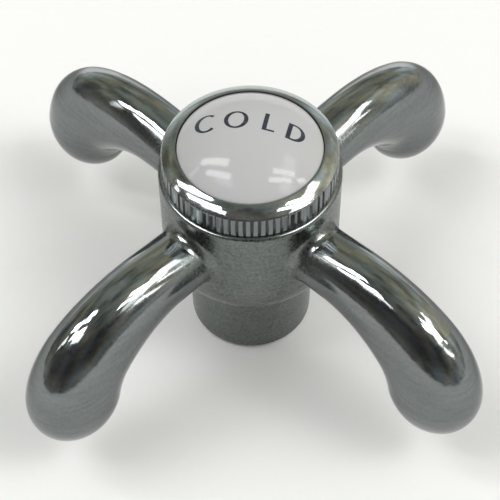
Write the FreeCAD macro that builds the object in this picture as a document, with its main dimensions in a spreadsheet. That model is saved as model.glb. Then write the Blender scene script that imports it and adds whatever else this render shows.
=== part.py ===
import FreeCAD, Part
import math
import os
import Sketcher

# Cross handle for a tap, with a reeded index ring, a domed ceramic index disc and the screw under them.
# Sizes are in millimetres. The axis of the valve stem is Z and the foot of the hub stands on Z = 0.
# The arms lie on the diagonals, and the disc reads upright from the -Y side.

doc = FreeCAD.newDocument("tap_handle")
sheet = doc.addObject("Spreadsheet::Sheet", "sizes")


# Sizes

class Size:
    """A number together with the sheet formula that gives it."""

    def __init__(self, value, text):
        self.value = value
        self.text = text

    def __add__(self, other):
        other = as_size(other)
        return Size(self.value + other.value, "(" + self.text + " + " + other.text + ")")

    def __sub__(self, other):
        other = as_size(other)
        return Size(self.value - other.value, "(" + self.text + " - " + other.text + ")")

    def __mul__(self, other):
        other = as_size(other)
        return Size(self.value * other.value, "(" + self.text + " * " + other.text + ")")

    def __truediv__(self, other):
        other = as_size(other)
        return Size(self.value / other.value, "(" + self.text + " / " + other.text + ")")


def as_size(item):
    return item if isinstance(item, Size) else Size(float(item), str(float(item)))


next_row = [1]


def size(alias, value):
    """Writes one driving size to the sheet and returns it."""
    cell = "B" + str(next_row[0])
    sheet.set("A" + str(next_row[0]), alias)
    sheet.set(cell, str(value))
    sheet.setAlias(cell, alias)
    next_row[0] += 1
    return Size(float(value), "sizes." + alias)


# Hub
collar_radius = size("collar_radius", 8.2)
drum_radius = size("drum_radius", 11.6)
bell_bottom = size("bell_bottom", 11.5)
bell_top = size("bell_top", 16.2)
hub_height = size("hub_height", 28.6)
shoulder_round = size("shoulder_round", 0.45)
neck_round = size("neck_round", 0.8)
foot_round = size("foot_round", 0.6)

# Arms
arm_count = size("arm_count", 4)
arm_turn = size("arm_turn", 45)
arm_start = size("arm_start", 5.0)
crest_radius = size("crest_radius", 16.7)
crest_height = size("crest_height", 21.65)
shoulder_radius = size("shoulder_radius", 60.0)
bow_radius = size("bow_radius", 20.0)
bow_turn = size("bow_turn", 35.6)
drop_radius = size("drop_radius", 9.0)
drop_turn = size("drop_turn", 40.2)
swell_place = size("swell_place", 0.12)
root_half_width = size("root_half_width", 4.75)
root_half_depth = size("root_half_depth", 4.8)
waist_half_width = size("waist_half_width", 4.15)
waist_half_depth = size("waist_half_depth", 4.25)
swell_half_width = size("swell_half_width", 4.75)
swell_half_depth = size("swell_half_depth", 6.0)
tip_half_width = size("tip_half_width", 5.4)
tip_half_depth = size("tip_half_depth", 6.3)
tip_dome = size("tip_dome", 6.9)
root_fillet = size("root_fillet", 1.4)

# Stem socket
skirt_radius = size("skirt_radius", 6.0)
skirt_depth = size("skirt_depth", 9.0)
spline_radius = size("spline_radius", 3.6)
spline_tooth = size("spline_tooth", 0.45)
spline_length = size("spline_length", 8.0)
spline_count = size("spline_count", 20)
web_thickness = size("web_thickness", 2.5)

# Handle screw
screw_radius = size("screw_radius", 2.0)
screw_clearance = size("screw_clearance", 0.2)
screw_length = size("screw_length", 8.0)
screw_point = size("screw_point", 0.5)
head_radius = size("head_radius", 4.0)
head_height = size("head_height", 2.6)
head_round = size("head_round", 0.8)
head_clearance = size("head_clearance", 1.0)
slot_width = size("slot_width", 1.1)
slot_depth = size("slot_depth", 1.2)

# Index ring
ring_wall = size("ring_wall", 3.1)
bevel_width = size("bevel_width", 1.72)
bevel_height = size("bevel_height", 1.0)
bevel_bow = size("bevel_bow", 6.0)
edge_round = size("edge_round", 0.45)
ring_chamfer = size("ring_chamfer", 0.25)
lip_width = size("lip_width", 0.2)
spigot_radius = size("spigot_radius", 7.9)
spigot_clearance = size("spigot_clearance", 0.1)
spigot_length = size("spigot_length", 4.4)
spigot_end_gap = size("spigot_end_gap", 0.6)
spigot_wall = size("spigot_wall", 1.5)
spigot_chamfer = size("spigot_chamfer", 0.4)
seat_floor = size("seat_floor", 1.2)
reed_count = size("reed_count", 76)
reed_depth = size("reed_depth", 0.22)
reed_half_width = size("reed_half_width", 0.22)

# Index disc
disc_radius = size("disc_radius", 9.1)
disc_clearance = size("disc_clearance", 0.1)
disc_edge = size("disc_edge", 2.0)
disc_sink = size("disc_sink", 0.15)
disc_dome = size("disc_dome", 3.5)
disc_round = size("disc_round", 0.3)

# Sizes that follow from the others
zero = as_size(0)
seat_radius = disc_radius + disc_clearance
ring_radius = seat_radius + lip_width + bevel_width
bevel_start = hub_height + ring_wall
ring_top = bevel_start + bevel_height
disc_rim = ring_top - disc_sink
seat_height = disc_rim - disc_edge
spline_top = skirt_depth + spline_length
web_top = spline_top + web_thickness
recess_floor = hub_height - spigot_length - spigot_end_gap
recess_radius = spigot_radius + spigot_clearance
head_room_radius = head_radius + head_clearance
doc.recompute()


# Sketches and features

def new_body(name):
    body = doc.addObject("PartDesign::Body", name)
    body.Label = name
    return body


def origin_part(body, role):
    for item in body.Origin.OriginFeatures:
        if item.Role == role:
            return item
    raise ValueError("no origin part " + role)


def new_sketch(body, name, role, height=None):
    """Makes a sketch on an origin plane of its body, raised along the plane's normal by a height."""
    sketch = body.newObject("Sketcher::SketchObject", name)
    sketch.AttachmentSupport = [(origin_part(body, role), "")]
    sketch.MapMode = "FlatFace"
    if height is not None:
        rise = FreeCAD.Vector(0, 0, height.value)
        sketch.AttachmentOffset = FreeCAD.Placement(rise, FreeCAD.Rotation())
        sketch.setExpression("AttachmentOffset.Base.z", height.text)
    return sketch


def bind(sketch, kind, where, amount):
    """Adds a dimension and ties it to the sheet."""
    index = sketch.addConstraint(Sketcher.Constraint(kind, *where, amount.value))
    sketch.setExpression("Constraints[" + str(index) + "]", amount.text)


def bind_angle(sketch, arc, amount):
    """Sets the angle that an arc spans, in degrees on the sheet."""
    index = sketch.addConstraint(Sketcher.Constraint("Angle", arc, math.radians(amount.value)))
    sketch.setExpression("Constraints[" + str(index) + "]", amount.text + " * 1 deg")


def place_point(sketch, geometry, end, across, up):
    """Fixes one point of a sketch by its two distances from the sketch's origin."""
    for kind, axis, amount in (("DistanceX", -2, across), ("DistanceY", -1, up)):
        if amount.value == 0:
            sketch.addConstraint(Sketcher.Constraint("PointOnObject", geometry, end, axis))
        else:
            bind(sketch, kind, (-1, 1, geometry, end), amount)


def arc_between(first, last, radius, bulge):
    """Returns the short arc between two points; bulge is +1 for a centre left of the way, else -1."""
    middle = (first + last) * 0.5
    chord = last - first
    side = FreeCAD.Vector(-chord.y, chord.x, 0).normalize() * bulge
    reach = max(radius * radius - chord.Length ** 2 / 4, 0) ** 0.5
    centre = middle + side * reach
    crown = centre + (middle - centre).normalize() * radius if reach > 0 else middle - side * radius
    return Part.Arc(first, crown, last)


def draw_outline(sketch, corners):
    """Draws a closed outline.

    A corner is (across, up), or (across, up, radius, bulge) where an arc leads to the next one.
    """
    points = [FreeCAD.Vector(corner[0].value, corner[1].value, 0) for corner in corners]
    ends = []
    for index, corner in enumerate(corners):
        first = points[index]
        last = points[(index + 1) % len(points)]
        if len(corner) == 2:
            sketch.addGeometry(Part.LineSegment(first, last), False)
            ends.append((1, 2))
        else:
            sketch.addGeometry(arc_between(first, last, corner[2].value, corner[3]), False)
            ends.append((1, 2) if corner[3] > 0 else (2, 1))
    for index in range(len(corners)):
        after = (index + 1) % len(corners)
        joined = (index, ends[index][1], after, ends[after][0])
        sketch.addConstraint(Sketcher.Constraint("Coincident", *joined))
    for index, corner in enumerate(corners):
        place_point(sketch, index, ends[index][0], corner[0], corner[1])
        if len(corner) == 4:
            bind(sketch, "Radius", (index,), corner[2])
    doc.recompute()


def turn(body, name, corners, kind="PartDesign::Revolution"):
    """Turns an outline in the XZ plane about the axis, as material or as a cut."""
    sketch = new_sketch(body, name + "_outline", "XZ_Plane")
    draw_outline(sketch, corners)
    feature = body.newObject(kind, name)
    feature.Profile = sketch
    feature.ReferenceAxis = (sketch, ["V_Axis"])
    feature.Angle = 360
    body.Tip = feature
    doc.recompute()
    return feature


def cut_up(body, name, corners, start, height):
    """Cuts an outline in a level plane upward from a height."""
    sketch = new_sketch(body, name + "_outline", "XY_Plane", start)
    draw_outline(sketch, corners)
    feature = body.newObject("PartDesign::Pocket", name)
    feature.Profile = sketch
    feature.Reversed = True
    feature.Length = height.value
    feature.setExpression("Length", height.text)
    body.Tip = feature
    doc.recompute()
    return feature


def repeat_round(body, name, originals, count):
    """Repeats features round the axis."""
    feature = body.newObject("PartDesign::PolarPattern", name)
    feature.Originals = originals
    feature.Axis = (origin_part(body, "Z_Axis"), [""])
    feature.Angle = 360
    feature.Occurrences = int(count.value)
    feature.setExpression("Occurrences", count.text)
    body.Tip = feature
    doc.recompute()
    return feature


def round_edges(body, name, base, chosen, radius):
    """Rounds the edges of a feature that chosen, a test of one edge, picks out."""
    names = ["Edge" + str(index + 1) for index, edge in enumerate(base.Shape.Edges) if chosen(edge)]
    feature = body.newObject("PartDesign::Fillet", name)
    feature.Base = (base, names)
    feature.Radius = radius.value
    feature.setExpression("Radius", radius.text)
    body.Tip = feature
    doc.recompute()
    return feature


def round_rim(body, name, base, rim_radius, rim_height, radius):
    """Rounds the level circular edge of a feature that has that radius and height."""
    return round_edges(body, name, base, lambda edge: is_circle(edge, rim_radius, rim_height), radius)


def is_circle(edge, radius, height):
    """Tells whether an edge is the level circle of that radius at that height."""
    if edge.Degenerated or not isinstance(edge.Curve, Part.Circle):
        return False
    same_radius = abs(edge.Curve.Radius - radius.value) < 1e-4
    return same_radius and abs(edge.Curve.Center.z - height.value) < 1e-4


# Cross handle

handle = new_body("cross_handle")
bell_rise = bell_top - bell_bottom
bell_step = drum_radius - collar_radius
bell_radius = (bell_rise * bell_rise + bell_step * bell_step) / (bell_step * 2)
hub = turn(handle, "hub", [
    (zero, zero),
    (collar_radius, zero),
    (collar_radius, bell_bottom, bell_radius, 1),
    (drum_radius, bell_top),
    (drum_radius, hub_height),
    (zero, hub_height),
])
shoulder = round_rim(handle, "hub_shoulder", hub, drum_radius, hub_height, shoulder_round)
neck = round_rim(handle, "hub_neck", shoulder, collar_radius, bell_bottom, neck_round)
round_rim(handle, "hub_foot", neck, collar_radius, zero, foot_round)

# Each arm leaves the hub almost level, bows over a crest and then turns more tightly down to the tip.
bow_up = crest_height - bow_radius
bow_centre = FreeCAD.Vector(crest_radius.value, bow_up.value, 0)
shoulder_centre = FreeCAD.Vector(crest_radius.value, (crest_height - shoulder_radius).value, 0)
start_angle = math.asin((arm_start - crest_radius).value / shoulder_radius.value)
meeting_angle = math.radians(bow_turn.value)
tip_angle = meeting_angle + math.radians(drop_turn.value)


def way(angle):
    """Returns the direction at an angle from straight up, outward."""
    return FreeCAD.Vector(math.sin(angle), math.cos(angle), 0)


drop_centre = bow_centre + way(meeting_angle) * (bow_radius - drop_radius).value
start_point = shoulder_centre + way(start_angle) * shoulder_radius.value
shoulder_crown = shoulder_centre + way(start_angle / 2) * shoulder_radius.value
crest_point = FreeCAD.Vector(crest_radius.value, crest_height.value, 0)
bow_crown = bow_centre + way(meeting_angle / 2) * bow_radius.value
meeting_point = bow_centre + way(meeting_angle) * bow_radius.value
drop_crown = drop_centre + way((meeting_angle + tip_angle) / 2) * drop_radius.value
tip_point = drop_centre + way(tip_angle) * drop_radius.value


def arm_line(name, angle):
    """Draws the line of one arm in the upright plane at an angle round the axis."""
    sketch = new_sketch(handle, name, "XZ_Plane")
    upright = FreeCAD.Vector(0, 1, 0)
    sketch.AttachmentOffset = FreeCAD.Placement(FreeCAD.Vector(), FreeCAD.Rotation(upright, angle.value))
    sketch.setExpression("AttachmentOffset.Rotation.Angle", angle.text)
    sketch.addGeometry(Part.Arc(meeting_point, bow_crown, crest_point), False)
    sketch.addGeometry(Part.Arc(tip_point, drop_crown, meeting_point), False)
    sketch.addGeometry(Part.Arc(crest_point, shoulder_crown, start_point), False)
    place_point(sketch, 0, 3, crest_radius, bow_up)
    bind(sketch, "Radius", (0,), bow_radius)
    bind_angle(sketch, 0, bow_turn)
    sketch.addConstraint(Sketcher.Constraint("Vertical", 0, 3, 0, 2))
    sketch.addConstraint(Sketcher.Constraint("Tangent", 0, 1, 1, 2))
    bind(sketch, "Radius", (1,), drop_radius)
    bind_angle(sketch, 1, drop_turn)
    sketch.addConstraint(Sketcher.Constraint("Tangent", 0, 2, 2, 1))
    bind(sketch, "Radius", (2,), shoulder_radius)
    bind(sketch, "DistanceX", (-1, 1, 2, 2), arm_start)
    doc.recompute()
    return sketch


def arm_section(name, line, edge, place, half_width, half_depth):
    """Draws one oval section square to an arm's line, at a place from 0 to 1 along one of its arcs."""
    sketch = handle.newObject("Sketcher::SketchObject", name)
    sketch.AttachmentSupport = [(line, edge)]
    sketch.MapMode = "FrenetNB"
    sketch.MapPathParameter = place
    deep = FreeCAD.Vector(half_depth.value, 0, 0)
    wide = FreeCAD.Vector(0, half_width.value, 0)
    sketch.addGeometry(Part.Ellipse(deep, wide, FreeCAD.Vector()), False)
    sketch.exposeInternalGeometry(0)
    sketch.addConstraint(Sketcher.Constraint("Coincident", 0, 3, -1, 1))
    sketch.addConstraint(Sketcher.Constraint("Horizontal", 1))
    bind(sketch, "Distance", (1,), half_depth * 2)
    bind(sketch, "Distance", (2,), half_width * 2)
    doc.recompute()
    return sketch


def add_arm(name, angle):
    """Adds one arm: oval sections swept along its line, closed by a rounded end."""
    line = arm_line(name + "_line", angle)
    swell_at = swell_place.value
    sections = [
        arm_section(name + "_root", line, "Edge3", 1.0, root_half_width, root_half_depth),
        arm_section(name + "_waist", line, "Edge2", 1.0, waist_half_width, waist_half_depth),
        arm_section(name + "_swell", line, "Edge2", swell_at, swell_half_width, swell_half_depth),
        arm_section(name + "_tip", line, "Edge1", 0.0, tip_half_width, tip_half_depth),
    ]
    sweep = handle.newObject("PartDesign::AdditivePipe", name)
    sweep.Profile = sections[0]
    sweep.Spine = (line, ["Edge1", "Edge2", "Edge3"])
    sweep.Sections = sections[1:]
    sweep.Transformation = "Multisection"
    handle.Tip = sweep
    doc.recompute()
    end = handle.newObject("PartDesign::AdditiveEllipsoid", name + "_end")
    end.AttachmentSupport = [(line, "Edge1")]
    end.MapMode = "FrenetNB"
    end.MapPathParameter = 0.0
    end.Angle1 = 0
    end.Angle2 = 90
    for key, amount in (("Radius1", tip_dome), ("Radius2", tip_half_depth), ("Radius3", tip_half_width)):
        setattr(end, key, amount.value)
        end.setExpression(key, amount.text)
    handle.Tip = end
    doc.recompute()
    return end


for index in range(int(arm_count.value)):
    arms = add_arm("arm_" + str(index + 1), arm_turn + as_size(360) / arm_count * index)


def meets_hub(edge):
    """Tells whether an edge lies between a swept arm and the turned surface of the hub."""
    if edge.Degenerated:
        return False
    faces = arms.Shape.ancestorsOfType(edge, Part.Face)
    swept = [isinstance(face.Surface, Part.BSplineSurface) for face in faces]
    middle = edge.CenterOfMass
    return swept.count(True) == 1 and middle.z > bell_bottom.value and near_hub(middle)


def near_hub(point):
    return (point.x ** 2 + point.y ** 2) ** 0.5 < crest_radius.value


round_edges(handle, "arm_roots", arms, meets_hub, root_fillet)

# The socket is bored from the foot: a plain skirt, the splined stem bore, a web with the screw hole,
# and then the recess for the ring's spigot.
screw_hole = screw_radius + screw_clearance
turn(handle, "bores", [
    (zero, zero),
    (skirt_radius, zero),
    (skirt_radius, skirt_depth),
    (spline_radius, skirt_depth),
    (spline_radius, spline_top),
    (screw_hole, spline_top),
    (screw_hole, web_top),
    (head_room_radius, web_top),
    (head_room_radius, recess_floor),
    (recess_radius, recess_floor),
    (recess_radius, hub_height),
    (zero, hub_height),
], "PartDesign::Groove")
spline_inside = spline_radius - spline_tooth
spline_outside = spline_radius + spline_tooth
spline_groove = cut_up(handle, "spline_groove", [
    (spline_inside, zero - spline_tooth),
    (spline_outside, zero - spline_tooth / 3),
    (spline_outside, spline_tooth / 3),
    (spline_inside, spline_tooth),
], skirt_depth, spline_length)
repeat_round(handle, "spline_grooves", [spline_groove], spline_count)

# Index ring

ring = new_body("index_ring")
spigot_bottom = hub_height - spigot_length
spigot_inside = spigot_radius - spigot_wall
turned_ring = turn(ring, "ring", [
    (zero, seat_height - seat_floor),
    (spigot_inside, seat_height - seat_floor),
    (spigot_inside, spigot_bottom),
    (spigot_radius - spigot_chamfer, spigot_bottom),
    (spigot_radius, spigot_bottom + spigot_chamfer),
    (spigot_radius, hub_height),
    (ring_radius - ring_chamfer, hub_height),
    (ring_radius, hub_height + ring_chamfer),
    (ring_radius, bevel_start, bevel_bow, 1),
    (ring_radius - bevel_width, ring_top),
    (seat_radius, ring_top),
    (seat_radius, seat_height),
    (zero, seat_height),
])
round_rim(ring, "ring_edge", turned_ring, ring_radius, bevel_start, edge_round)
reed_outside = ring_radius + reed_depth
reed = cut_up(ring, "reed", [
    (ring_radius - reed_depth, zero),
    (reed_outside, zero - reed_half_width * 2),
    (reed_outside, reed_half_width * 2),
], hub_height, ring_wall + bevel_height)
repeat_round(ring, "reeds", [reed], reed_count)

# Index disc

disc = new_body("index_disc")
dome_radius = (disc_radius * disc_radius + disc_dome * disc_dome) / (disc_dome * 2)
dome = turn(disc, "dome", [
    (zero, seat_height),
    (disc_radius, seat_height),
    (disc_radius, disc_rim, dome_radius, 1),
    (zero, disc_rim + disc_dome),
])
round_rim(disc, "disc_rim", dome, disc_radius, disc_rim, disc_round)

# Handle screw

screw = new_body("handle_screw")
screw_tip = web_top - screw_length
head_top = web_top + head_height
turn(screw, "screw", [
    (zero, screw_tip),
    (screw_radius - screw_point, screw_tip),
    (screw_radius, screw_tip + screw_point),
    (screw_radius, web_top),
    (head_radius, web_top),
    (head_radius, head_top - head_round, head_round, 1),
    (head_radius - head_round, head_top),
    (zero, head_top),
])
cut_up(screw, "slot", [
    (zero - head_radius, zero - slot_width / 2),
    (head_radius, zero - slot_width / 2),
    (head_radius, slot_width / 2),
    (zero - head_radius, slot_width / 2),
], head_top - slot_depth, slot_depth)

# Files

doc.recompute()
for item in doc.Objects:
    if "Invalid" in item.State or "Error" in item.State:
        raise RuntimeError(item.Name + " did not build: " + item.getStatusString())
os.makedirs("parts", exist_ok=True)
for body in (handle, ring, disc, screw):
    if body.Shape.isNull() or not body.Shape.isValid() or len(body.Shape.Solids) != 1:
        raise RuntimeError(body.Label + " is not one valid solid")
    body.Shape.exportStep("parts/" + body.Label + ".step")
    print(body.Label, round(body.Shape.Volume, 1), body.Shape.BoundBox)
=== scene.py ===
import math
import bmesh
import bpy
from mathutils import Matrix, Vector


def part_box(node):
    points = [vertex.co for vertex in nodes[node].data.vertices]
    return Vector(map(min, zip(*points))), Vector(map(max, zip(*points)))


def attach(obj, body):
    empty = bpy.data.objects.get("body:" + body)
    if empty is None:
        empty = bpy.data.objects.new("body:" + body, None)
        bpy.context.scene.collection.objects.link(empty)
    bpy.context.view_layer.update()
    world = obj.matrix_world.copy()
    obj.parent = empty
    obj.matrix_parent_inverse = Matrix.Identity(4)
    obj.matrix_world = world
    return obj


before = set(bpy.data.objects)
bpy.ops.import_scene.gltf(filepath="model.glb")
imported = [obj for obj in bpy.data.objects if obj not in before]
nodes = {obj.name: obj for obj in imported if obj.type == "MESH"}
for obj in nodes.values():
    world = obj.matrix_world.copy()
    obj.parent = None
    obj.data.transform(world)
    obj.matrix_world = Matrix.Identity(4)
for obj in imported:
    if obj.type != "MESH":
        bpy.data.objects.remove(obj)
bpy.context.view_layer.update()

# Cross handle of a tap on a pale floor, under ceiling strips in a dim room.
# Lengths are in metres, and MM turns millimetres into them.

MM = 0.001
scene = bpy.context.scene
scene.view_settings.view_transform = "Standard"


# Object helpers

def add_object(name, data):
    thing = bpy.data.objects.new(name, data)
    scene.collection.objects.link(thing)
    return thing


def mesh_object(name, mesh, material):
    """Turns an edited mesh into an object of the scene."""
    data = bpy.data.meshes.new(name)
    mesh.to_mesh(data)
    mesh.free()
    data.materials.append(material)
    return add_object(name, data)


# Node helpers

UNIT = (0.0, 1.0)
FALLING = (1.0, 0.0)
# Ranges of noise that are spread over a target range: the narrower one gives more contrast
NOISE_SPAN = (0.3, 0.7)
NOISE_CORE = (0.35, 0.65)


def new_material(name):
    """Makes a material and returns it with its tree and its shader."""
    material = bpy.data.materials.new(name)
    material.use_nodes = True
    tree = material.node_tree
    return material, tree, tree.nodes["Principled BSDF"]


def add(tree, kind, **settings):
    node = tree.nodes.new(kind)
    for key, value in settings.items():
        setattr(node, key, value)
    return node


def plug(tree, source, target):
    """Sets a socket from another socket or from a plain value."""
    if isinstance(source, bpy.types.NodeSocket):
        tree.links.new(source, target)
    else:
        target.default_value = source


def noise(tree, coords, scale, detail=3.0, rough=0.5):
    node = add(tree, "ShaderNodeTexNoise")
    plug(tree, coords, node.inputs["Vector"])
    node.inputs["Scale"].default_value = scale
    node.inputs["Detail"].default_value = detail
    node.inputs["Roughness"].default_value = rough
    return node.outputs["Fac"]


def remap(tree, value, source, target, smooth=False):
    """Maps a value from one range to another, held at the ends."""
    node = add(tree, "ShaderNodeMapRange")
    node.interpolation_type = "SMOOTHSTEP" if smooth else "LINEAR"
    plug(tree, value, node.inputs["Value"])
    plug(tree, source[0], node.inputs["From Min"])
    plug(tree, source[1], node.inputs["From Max"])
    plug(tree, target[0], node.inputs["To Min"])
    plug(tree, target[1], node.inputs["To Max"])
    return node.outputs["Result"]


def between(tree, factor, first, second):
    """Blends two numbers: the first at factor 0, the second at factor 1."""
    return remap(tree, factor, UNIT, (first, second))


def math_node(tree, operation, first, second):
    node = add(tree, "ShaderNodeMath", operation=operation)
    plug(tree, first, node.inputs[0])
    plug(tree, second, node.inputs[1])
    return node.outputs[0]


def blend_colour(tree, factor, first, second, mode="MIX"):
    node = add(tree, "ShaderNodeMix", data_type="RGBA", blend_type=mode)
    plug(tree, factor, node.inputs["Factor"])
    plug(tree, first, node.inputs["A"])
    plug(tree, second, node.inputs["B"])
    return node.outputs["Result"]


def scale_colour(tree, colour, by):
    return blend_colour(tree, 1.0, colour, by, "MULTIPLY")


def grey(level, tint=(1.0, 1.0, 1.0)):
    return tuple(level * part for part in tint) + (1.0,)


def object_coords(tree):
    return add(tree, "ShaderNodeTexCoord").outputs["Object"]


def split(tree, vector):
    """Returns the X, Y and Z of a vector."""
    parts = add(tree, "ShaderNodeSeparateXYZ")
    plug(tree, vector, parts.inputs[0])
    return [parts.outputs[axis] for axis in "XYZ"]


def upward(tree):
    """Returns how far a surface faces up, from -1 to 1."""
    return split(tree, add(tree, "ShaderNodeNewGeometry").outputs["Normal"])[2]


def level_lines(tree, coords, across, along):
    """Fine lines that run level round the axis, as a file or a tool leaves them."""
    stretch = add(tree, "ShaderNodeMapping")
    stretch.inputs["Scale"].default_value = (across, across, along)
    plug(tree, coords, stretch.inputs["Vector"])
    return noise(tree, stretch.outputs["Vector"], scale=1.0, detail=2.0)


def axis_distance(tree, coords):
    flat = add(tree, "ShaderNodeVectorMath", operation="MULTIPLY")
    plug(tree, coords, flat.inputs[0])
    flat.inputs[1].default_value = (1.0, 1.0, 0.0)
    length = add(tree, "ShaderNodeVectorMath", operation="LENGTH")
    plug(tree, flat.outputs["Vector"], length.inputs[0])
    return length.outputs["Value"]


def bump(tree, shader, height, distance):
    node = add(tree, "ShaderNodeBump")
    node.inputs["Strength"].default_value = 1.0
    node.inputs["Distance"].default_value = distance
    plug(tree, height, node.inputs["Height"])
    plug(tree, node.outputs["Normal"], shader.inputs["Normal"])


# Chrome of the handle

CHROME_TINT = (0.92, 1.0, 1.01)
HUB_TINT = (0.91, 1.0, 0.95)
# Satin greys, darkened with painted shade, most where the surface faces down
SATIN_SHADE_LEVELS = (0.19, 0.22)
HUB_LEVEL = 0.205
POLISHED_LEVEL = 0.43
# How far up a surface faces where the satin's painted shade lightens, and where the polish sets in
FLANK_FACING = (0.2, 0.5)
POLISH_FACING = (0.76, 0.92)
FACING_DRIFT = (-0.04, 0.04)
# Distances from the axis where the hub's tone and painted shade, its coarse grain and its duller
# polish fade out
HUB_REACH = (11.8 * MM, 15.0 * MM)
GRAIN_REACH = (12.0 * MM, 19.0 * MM)
ROOT_REACH = (14.0 * MM, 18.0 * MM)


def shaded_satin_colour(tree, facing, hub):
    """Grey of the satin, with painted shade: darker where it faces down, a little brighter where it
    faces up, less blue on the hub.
    """
    flank = remap(tree, facing, FLANK_FACING, SATIN_SHADE_LEVELS, smooth=True)
    tint = blend_colour(tree, hub, grey(1.0, CHROME_TINT), grey(1.0, HUB_TINT))
    return scale_colour(tree, tint, between(tree, hub, flank, HUB_LEVEL))


def satin_grain_and_hub_shade(tree, coords, grain, hub):
    """Speckle, stronger on the hub and darker there on the whole as painted shade, with fine filed
    lines over it.
    """
    # The hub's darker speckle is painted shade over the real grain
    dark = between(tree, hub, 0.92, 0.68)
    pale = between(tree, hub, 1.08, 1.02)
    speckle = remap(tree, grain, NOISE_CORE, (dark, pale))
    lines = level_lines(tree, coords, across=240.0, along=2600.0)
    return math_node(tree, "MULTIPLY", speckle, remap(tree, lines, NOISE_SPAN, (0.91, 1.09)))


def chrome_roughness(tree, reach, drift, grain, buffed_unshaded):
    """Grained satin, coarser near the hub, and a polish that dulls at the arms' roots."""
    near = remap(tree, reach, GRAIN_REACH, FALLING, smooth=True)
    finest = between(tree, near, 0.09, 0.18)
    coarsest = between(tree, near, 0.15, 0.4)
    satin = remap(tree, grain, NOISE_SPAN, (finest, coarsest))
    root = remap(tree, reach, ROOT_REACH, (0.06, 0.0), smooth=True)
    polish = math_node(tree, "ADD", remap(tree, drift, (0.35, 0.7), (0.04, 0.08)), root)
    return between(tree, buffed_unshaded, satin, polish)


def chrome_relief(tree, coords, grain, buffed_unshaded):
    """Height of the grain, which the polish wears down, over a slight wave."""
    fine = math_node(tree, "MULTIPLY", grain, between(tree, buffed_unshaded, 1.0, 0.06))
    wave = noise(tree, coords, scale=520.0, detail=2.0)
    return math_node(tree, "ADD", fine, math_node(tree, "MULTIPLY", wave, 0.35))


def cast_chrome():
    """Plating on a casting: polished where it faces up, satin on the flanks darkened with painted
    shade, grained on the hub with painted shade.
    """
    material, tree, shader = new_material("handle_chrome")
    coords = object_coords(tree)
    drift = noise(tree, coords, scale=220.0)
    grain = noise(tree, coords, scale=2600.0, detail=4.0, rough=0.6)
    reach = axis_distance(tree, coords)
    hub = remap(tree, reach, HUB_REACH, FALLING, smooth=True)
    facing = math_node(tree, "ADD", upward(tree), remap(tree, drift, NOISE_SPAN, FACING_DRIFT))
    buffed_unshaded = remap(tree, facing, POLISH_FACING, UNIT, smooth=True)
    # Satin grey with painted shade, blended into the plating's polished grey where it faces up
    satin = shaded_satin_colour(tree, facing, hub)
    colour = blend_colour(tree, buffed_unshaded, satin, grey(POLISHED_LEVEL, CHROME_TINT))
    grain_and_shade = between(tree, buffed_unshaded, satin_grain_and_hub_shade(tree, coords, grain, hub), 1.0)
    plug(tree, scale_colour(tree, colour, grain_and_shade), shader.inputs["Base Color"])
    edge = remap(tree, facing, FLANK_FACING, (0.95, 0.45))
    plug(tree, between(tree, buffed_unshaded, edge, 1.0), shader.inputs["Specular Tint"])
    roughness = chrome_roughness(tree, reach, drift, grain, buffed_unshaded)
    plug(tree, roughness, shader.inputs["Roughness"])
    shader.inputs["Metallic"].default_value = 1.0
    bump(tree, shader, chrome_relief(tree, coords, grain, buffed_unshaded), distance=0.006 * MM)
    return material


# Chrome of the ring

# Grey of the reeds, darkened with painted shade, and of the polished bevel, which sets in by how far
# up a surface faces
REED_SHADE_LEVEL = 0.215
BEVEL_LEVEL = 0.52
BEVEL_FACING = (0.55, 0.8)


def turned_chrome():
    """Plating on a turned ring: polished bevel, satin reeds darkened with painted shade, faint lines
    round the axis.
    """
    material, tree, shader = new_material("ring_chrome")
    coords = object_coords(tree)
    drift = noise(tree, coords, scale=260.0)
    grain = noise(tree, coords, scale=2400.0, detail=4.0, rough=0.6)
    lines = level_lines(tree, coords, across=60.0, along=5200.0)
    buffed_unshaded = remap(tree, upward(tree), BEVEL_FACING, UNIT, smooth=True)
    colour = blend_colour(tree, buffed_unshaded, grey(REED_SHADE_LEVEL, CHROME_TINT), grey(BEVEL_LEVEL, CHROME_TINT))
    tone = remap(tree, grain, NOISE_SPAN, (0.9, 1.08))
    plug(tree, scale_colour(tree, colour, tone), shader.inputs["Base Color"])
    polish = remap(tree, drift, NOISE_SPAN, (0.04, 0.1))
    plug(tree, between(tree, buffed_unshaded, 0.24, polish), shader.inputs["Roughness"])
    shader.inputs["Metallic"].default_value = 1.0
    height = math_node(tree, "ADD", math_node(tree, "MULTIPLY", grain, 0.3), lines)
    bump(tree, shader, height, distance=0.0015 * MM)
    return material


# Porcelain, ink, brass and paper

GLAZE_COOL = (0.495, 0.498, 0.514, 1.0)
GLAZE_PALE = (0.532, 0.532, 0.54, 1.0)
INK_DEEP = (0.024, 0.028, 0.044, 1.0)
INK_THIN = (0.05, 0.055, 0.078, 1.0)
BRASS_DULL = (0.6, 0.4, 0.16, 1.0)
BRASS_CLEAN = (0.78, 0.58, 0.28, 1.0)


def white_glaze():
    """Glossy porcelain with a slight wave in the glaze and a few faint specks."""
    material, tree, shader = new_material("disc_glaze")
    coords = object_coords(tree)
    drift = noise(tree, coords, scale=160.0)
    wave = noise(tree, coords, scale=330.0, detail=2.0)
    speck = noise(tree, coords, scale=3600.0, detail=1.0)
    tone = blend_colour(tree, drift, GLAZE_COOL, GLAZE_PALE)
    dots = remap(tree, speck, (0.73, 0.8), (1.0, 0.9))
    plug(tree, scale_colour(tree, tone, dots), shader.inputs["Base Color"])
    plug(tree, remap(tree, drift, NOISE_SPAN, (0.05, 0.1)), shader.inputs["Roughness"])
    shader.inputs["IOR"].default_value = 1.46
    shader.inputs["Specular IOR Level"].default_value = 0.35
    bump(tree, shader, wave, distance=0.004 * MM)
    return material


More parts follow.
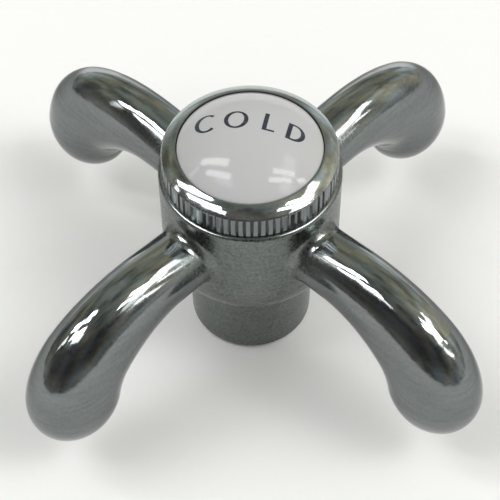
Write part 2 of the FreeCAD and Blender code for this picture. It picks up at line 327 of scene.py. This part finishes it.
def letter_enamel():
    """Dark blue fired ink, a little thinner in places."""
    material, tree, shader = new_material("letter_enamel")
    coords = object_coords(tree)
    patch = noise(tree, coords, scale=1500.0)
    plug(tree, blend_colour(tree, patch, INK_DEEP, INK_THIN), shader.inputs["Base Color"])
    plug(tree, remap(tree, patch, NOISE_SPAN, (0.16, 0.3)), shader.inputs["Roughness"])
    bump(tree, shader, noise(tree, coords, scale=4200.0, detail=2.0), distance=0.002 * MM)
    return material


def turned_brass():
    """Plain turned brass with tool lines and a little tarnish."""
    material, tree, shader = new_material("screw_brass")
    coords = object_coords(tree)
    tarnish = noise(tree, coords, scale=900.0, detail=4.0)
    lines = level_lines(tree, coords, across=90.0, along=7000.0)
    plug(tree, blend_colour(tree, tarnish, BRASS_DULL, BRASS_CLEAN), shader.inputs["Base Color"])
    plug(tree, remap(tree, lines, NOISE_SPAN, (0.2, 0.36)), shader.inputs["Roughness"])
    shader.inputs["Metallic"].default_value = 1.0
    bump(tree, shader, lines, distance=0.006 * MM)
    return material


def paper_floor():
    """Matt pale paper with faint fibres."""
    material, tree, shader = new_material("floor_paper")
    fibre = noise(tree, object_coords(tree), scale=900.0, detail=4.0)
    plug(tree, blend_colour(tree, fibre, grey(0.935), grey(0.955)), shader.inputs["Base Color"])
    shader.inputs["Roughness"].default_value = 0.9
    shader.inputs["Specular IOR Level"].default_value = 0.0
    return material


def dress(node_name, material):
    """Gives a CAD node its material."""
    slots = nodes[node_name].data.materials
    slots.clear()
    slots.append(material)


dress("cross_handle", cast_chrome())
dress("index_ring", turned_chrome())
dress("index_disc", white_glaze())
dress("handle_screw", turned_brass())


# Word on the disc, drawn with a broad nib and laid on the dome

DISC_RADIUS = 9.1 * MM
DISC_DOME = 3.5 * MM
DOME_RADIUS = (DISC_RADIUS ** 2 + DISC_DOME ** 2) / (2 * DISC_DOME)
INK_RISE = 0.02 * MM
INK_ROOT = -0.05 * MM
NIB_WIDE = 0.54 * MM
NIB_THIN = 0.25 * MM
NIB_SLANT = math.radians(-8)
NIB_ROWS = 4
PATH_STEP = 0.15 * MM
# Sine of the turn from which a corner is mitred exactly
MITRE_TURN = 0.3
disc_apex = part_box("index_disc")[1][2]


def dome_height(x, y):
    return disc_apex - DOME_RADIUS + math.sqrt(DOME_RADIUS ** 2 - x * x - y * y)


def arc_path(half_width, half_height, start, stop, count):
    """Points along an ellipse about the origin, angles in degrees from the right."""
    angles = [math.radians(start + (stop - start) * k / count) for k in range(count + 1)]
    return [Vector((half_width * math.cos(a), half_height * math.sin(a))) for a in angles]


def line_path(corners):
    """Points along straight runs between corners, at short steps."""
    path = [corners[0]]
    for first, last in zip(corners, corners[1:]):
        count = max(1, round((last - first).length / PATH_STEP))
        path += [first.lerp(last, k / count) for k in range(1, count + 1)]
    return path


def nib_offset(before, after):
    """Half the nib's width either side of a path, mitred between two directions."""
    across = Vector((math.cos(NIB_SLANT), math.sin(NIB_SLANT)))
    normals = [Vector((-way.y, way.x)).normalized() for way in (before, after)]
    halves = [(NIB_THIN + (NIB_WIDE - NIB_THIN) * n.dot(across) ** 2) / 2 for n in normals]
    first, second = normals
    corner = first.x * second.y - first.y * second.x
    if abs(corner) < MITRE_TURN:
        return (first + second).normalized() * (halves[0] + halves[1]) / 2
    x = (halves[0] * second.y - halves[1] * first.y) / corner
    y = (first.x * halves[1] - second.x * halves[0]) / corner
    return Vector((x, y))


def pen_rows(path, closed):
    """Rows of points across a stroke, from its left edge to its right edge."""
    count = len(path)
    rows = []
    for k, point in enumerate(path):
        after = path[(k + 1) % count] - point if closed or k < count - 1 else point - path[k - 1]
        before = point - path[k - 1] if closed or k > 0 else after
        reach = nib_offset(before, after)
        rows.append([point + reach * (1 - 2 * j / NIB_ROWS) for j in range(NIB_ROWS + 1)])
    return rows


def ink_sheet(mesh, rows, place, rise):
    """Adds the points of one side of a stroke, at a height over the dome."""
    sheet = []
    for row in rows:
        spots = [place @ Vector((p.x, p.y, 0)) for p in row]
        sheet.append([mesh.verts.new((s.x, s.y, dome_height(s.x, s.y) + rise)) for s in spots])
    return sheet


def ink_stroke(mesh, rows, closed, place):
    """Adds a thin closed solid along the rows, on the dome."""
    top = ink_sheet(mesh, rows, place, INK_RISE)
    bottom = ink_sheet(mesh, rows, place, INK_ROOT)
    count = len(rows)
    for k in range(count if closed else count - 1):
        after = (k + 1) % count
        for j in range(NIB_ROWS):
            mesh.faces.new((top[k][j], top[k][j + 1], top[after][j + 1], top[after][j]))
            mesh.faces.new((bottom[k][j], bottom[after][j], bottom[after][j + 1], bottom[k][j + 1]))
        for j in (0, NIB_ROWS):
            mesh.faces.new((top[k][j], top[after][j], bottom[after][j], bottom[k][j]))
    if not closed:
        for k in (0, count - 1):
            for j in range(NIB_ROWS):
                mesh.faces.new((top[k][j], top[k][j + 1], bottom[k][j + 1], bottom[k][j]))


# Each letter's path, and whether the path closes on itself

def letter_c():
    return arc_path(half_width=1.2 * MM, half_height=1.42 * MM, start=48, stop=312, count=48), False


def letter_o():
    return arc_path(half_width=1.24 * MM, half_height=1.38 * MM, start=0, stop=354, count=59), True


def letter_l():
    top = 1.5 * MM
    foot = -1.34 * MM
    width = 1.28 * MM
    return line_path([Vector((0, top)), Vector((0, foot)), Vector((width, foot))]), False


def letter_d():
    half_height = 1.22 * MM
    shoulder = 0.55 * MM
    bowl_width = 1.15 * MM
    foot = Vector((0, -half_height))
    stem = line_path([foot, Vector((0, half_height)), Vector((shoulder, half_height))])
    round_side = arc_path(bowl_width, half_height, start=90, stop=-90, count=36)
    bowl = [p + Vector((shoulder, 0)) for p in round_side]
    return stem[:-1] + bowl + line_path([bowl[-1], foot])[1:-1], True


# Each letter with the middle of its place on the disc in millimetres, and its lean in degrees
WORD = [
    (letter_c, (-5.3, 1.87), -4.0),
    (letter_o, (-1.65, 1.6), -7.0),
    (letter_l, (1.95, 1.15), -12.0),
    (letter_d, (4.8, 0.2), -14.0),
]


def write_word():
    mesh = bmesh.new()
    for draw, (x, y), lean in WORD:
        path, closed = draw()
        turn = Matrix.Rotation(math.radians(lean), 4, "Z")
        place = Matrix.Translation((x * MM, y * MM, 0)) @ turn
        ink_stroke(mesh, pen_rows(path, closed), closed, place)
    bmesh.ops.recalc_face_normals(mesh, faces=mesh.faces)
    return mesh_object("index_word", mesh, letter_enamel())


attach(write_word(), "root")


# Floor

FLOOR_HALF = 3.0
FLOOR_CELLS = 8


def lay_floor():
    mesh = bmesh.new()
    bmesh.ops.create_grid(mesh, x_segments=FLOOR_CELLS, y_segments=FLOOR_CELLS, size=FLOOR_HALF)
    return mesh_object("floor", mesh, paper_floor())


lay_floor()


# Lights

CEILING = 1.5
STRIP_RADIANCE = 8.5
GLOW_RADIANCE = 2.6
SOFT_RADIANCE = 0.26
# Bright strips, each from one place to another with its width, in ceiling heights from the axis
STRIPS = [
    ("strip_left_far", (-0.38, 0.03), (-1.15, 0.31), 0.16),
    ("strip_left_near", (-0.38, -0.27), (-1.0, -0.03), 0.15),
    ("strip_right_far", (0.42, -0.15), (1.05, -0.12), 0.12),
    ("strip_right_near", (0.36, -0.34), (0.95, -0.29), 0.11),
    ("strip_right_end", (1.2, -0.25), (1.6, -0.15), 0.12),
    ("strip_right_low", (1.1, -0.68), (2.2, -0.8), 0.16),
]
# Weaker panels beside the strips
GLOWS = [
    ("glow_left_front", (-0.36, -0.45), (-0.75, -0.24), 0.16),
    ("glow_left_end", (-1.3, 0.2), (-2.2, 0.14), 0.16),
    ("glow_right", (0.82, -0.64), (0.82, 0.28), 0.36),
]


def panel(name, first, last, width, radiance):
    """A flat light on the ceiling between two places."""
    start = Vector((first[0], first[1], 1.0)) * CEILING
    stop = Vector((last[0], last[1], 1.0)) * CEILING
    run = stop - start
    data = bpy.data.lights.new(name, "AREA")
    data.shape = "RECTANGLE"
    data.size = run.length
    data.size_y = width * CEILING
    data.energy = radiance * math.pi * data.size * data.size_y
    lamp = add_object(name, data)
    turn = Matrix.Rotation(math.atan2(run.y, run.x), 4, "Z")
    lamp.matrix_world = Matrix.Translation((start + stop) / 2) @ turn
    return lamp


for lamps, lamp_radiance in ((STRIPS, STRIP_RADIANCE), (GLOWS, GLOW_RADIANCE)):
    for lamp_name, lamp_start, lamp_stop, lamp_width in lamps:
        panel(lamp_name, lamp_start, lamp_stop, lamp_width, lamp_radiance)

# A wide soft light that fills the shadows and isn't mirrored in the metal
soft_top = panel("soft_top", (-2.0, -0.2), (2.0, -0.2), width=4.0, radiance=SOFT_RADIANCE)
soft_top.visible_glossy = False


# Dim room round the lights

WALL_NEAR = (0.11, 0.11, 0.115, 1.0)
WALL_FAR = (0.3, 0.31, 0.26, 1.0)
WALL_LIT = (0.8, 0.8, 0.7, 1.0)
WALL_LOW = (0.6, 0.61, 0.6, 1.0)
WARM_CAST = (1.08, 0.97, 0.82, 1.0)
COOL_CAST = (0.93, 1.0, 1.08, 1.0)
# How far the dark side of the room is turned from the front towards the left
DARK_TURN = 0.4


def wall_colour(tree, coords):
    """Walls that are darker in front, lit at the back right and paler low down."""
    right, back, rise = split(tree, coords)
    leaning = math_node(tree, "ADD", back, math_node(tree, "MULTIPLY", right, DARK_TURN))
    away = remap(tree, leaning, (-0.95, 0.55), UNIT, smooth=True)
    wall = blend_colour(tree, away, WALL_NEAR, WALL_FAR)
    side = remap(tree, right, (0.2, 0.9), UNIT, smooth=True)
    lit = blend_colour(tree, math_node(tree, "MULTIPLY", side, away), wall, WALL_LIT)
    low = remap(tree, rise, (0.05, 0.4), (0.5, 0.0), smooth=True)
    return blend_colour(tree, low, lit, WALL_LOW)


def dim_room():
    """A world of uneven walls, partly warm and partly cool."""
    world = bpy.data.worlds.new("dim_room")
    scene.world = world
    world.use_nodes = True
    tree = world.node_tree
    ground = tree.nodes["Background"]
    coords = add(tree, "ShaderNodeTexCoord").outputs["Generated"]
    hue = remap(tree, noise(tree, coords, scale=3.4, detail=1.0), NOISE_CORE, UNIT)
    cast = blend_colour(tree, hue, WARM_CAST, COOL_CAST)
    uneven = remap(tree, noise(tree, coords, scale=2.6), NOISE_CORE, (0.4, 1.35))
    patchy = scale_colour(tree, wall_colour(tree, coords), uneven)
    plug(tree, scale_colour(tree, patchy, cast), ground.inputs["Color"])
    ground.inputs["Strength"].default_value = 1.0


dim_room()


# Camera, at the photograph's viewing angle

CAMERA_ELEVATION = math.radians(53.172)
CAMERA_YAW = math.radians(-0.734)
CAMERA_ROLL = math.radians(-0.4437)
CAMERA_TARGET = Vector((-0.11006, 0.0, 11.32346)) * MM
CAMERA_DISTANCE = 196.924 * MM
CAMERA_LENS = 105.25
SENSOR_WIDTH = 36.0


def place_camera():
    yaw = Matrix.Rotation(CAMERA_YAW, 3, "Z")
    back = Vector((0.0, -math.cos(CAMERA_ELEVATION), math.sin(CAMERA_ELEVATION)))
    right = Vector((1.0, 0.0, 0.0))
    up = back.cross(right)
    across = right * math.cos(CAMERA_ROLL) + up * math.sin(CAMERA_ROLL)
    upright = up * math.cos(CAMERA_ROLL) - right * math.sin(CAMERA_ROLL)
    turn = Matrix((yaw @ across, yaw @ upright, yaw @ back)).transposed().to_4x4()
    data = bpy.data.cameras.new("camera")
    data.sensor_width = SENSOR_WIDTH
    data.lens = CAMERA_LENS
    data.clip_start = 10.0 * MM
    camera = add_object("camera", data)
    camera.matrix_world = Matrix.Translation(yaw @ (CAMERA_TARGET + back * CAMERA_DISTANCE)) @ turn
    scene.camera = camera


place_camera()
